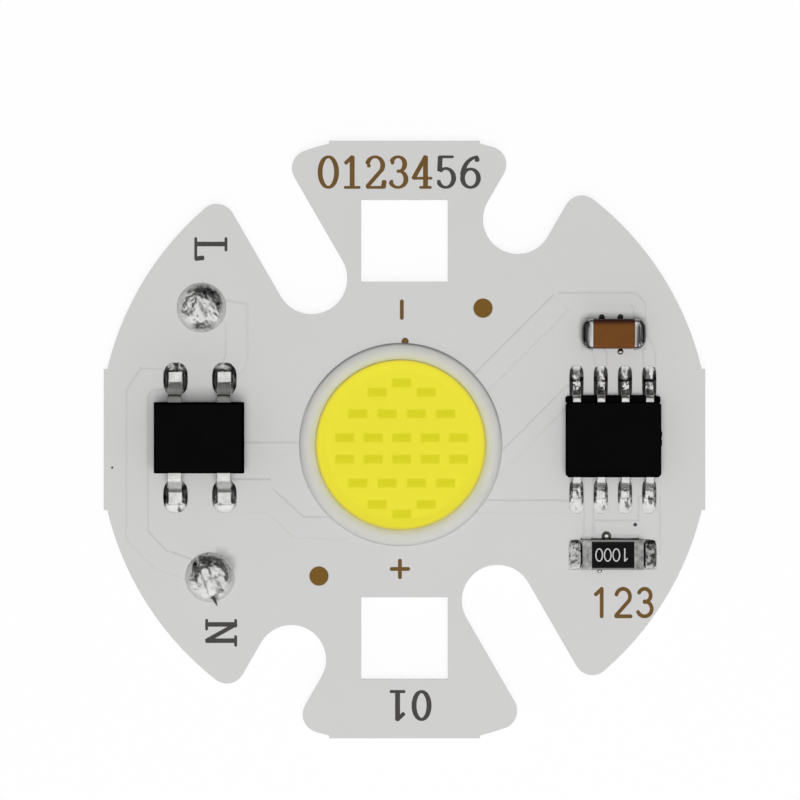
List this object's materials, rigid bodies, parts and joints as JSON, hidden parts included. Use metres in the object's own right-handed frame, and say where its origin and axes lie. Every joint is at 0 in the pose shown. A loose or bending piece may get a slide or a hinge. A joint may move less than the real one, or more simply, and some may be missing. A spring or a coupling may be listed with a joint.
{
  "type": "led module",
  "caption": "Slotted round aluminium board with an LED array in a silicone dam, a bridge rectifier, a driver circuit and soldered chip parts.",
  "frame": {"origin": "centre of the board's back face", "axes": "+Z out of the lit side, +Y towards the upper window, +X towards the driver circuit"},
  "size_m": [0.0316, 0.0314, 0.0035],
  "materials": {
    "core": "milled",
    "laminate": "matte",
    "copper": "browned bare copper",
    "mask": "white lacquer, satin",
    "silicone": "milky, satin",
    "gel": "soft gloss",
    "chip": "gloss",
    "wire": "drawn gold",
    "moulding": "black moulding, satin",
    "lead": "tinned",
    "solder": "bright wrinkled solder",
    "brown_ceramic": "satin",
    "alumina": "matte",
    "film": "matte",
    "coat": "gloss",
    "terminal": "tinned"
  },
  "bodies": {
    "root": {"board_core": "core", "bond_wires": "wire", "capacitor_body": "brown_ceramic", "capacitor_solder_east": "solder", "capacitor_solder_west": "solder", "capacitor_terminal_east": "terminal", "capacitor_terminal_west": "terminal", "copper_layer": "copper", "dam_ring": "silicone", "dielectric_layer": "laminate", "driver_body": "moulding", "driver_lead_1": "lead", "driver_lead_2": "lead", "driver_lead_3": "lead", "driver_lead_4": "lead", "driver_lead_5": "lead", "driver_lead_6": "lead", "driver_lead_7": "lead", "driver_lead_8": "lead", "driver_solder_1": "solder", "driver_solder_2": "solder", "driver_solder_3": "solder", "driver_solder_4": "solder", "driver_solder_5": "solder", "driver_solder_6": "solder", "driver_solder_7": "solder", "driver_solder_8": "solder", "led_chips": "chip", "live_solder": "solder", "neutral_solder": "solder", "phosphor_gel": "gel", "rectifier_body": "moulding", "rectifier_lead_1": "lead", "rectifier_lead_2": "lead", "rectifier_lead_3": "lead", "rectifier_lead_4": "lead", "rectifier_solder_1": "solder", "rectifier_solder_2": "solder", "rectifier_solder_3": "solder", "rectifier_solder_4": "solder", "resistor_base": "alumina", "resistor_coat": "coat", "resistor_film": "film", "resistor_solder_east": "solder", "resistor_solder_west": "solder", "resistor_terminal_east": "terminal", "resistor_terminal_west": "terminal", "solder_mask": "mask"}
  },
  "joints": []
}
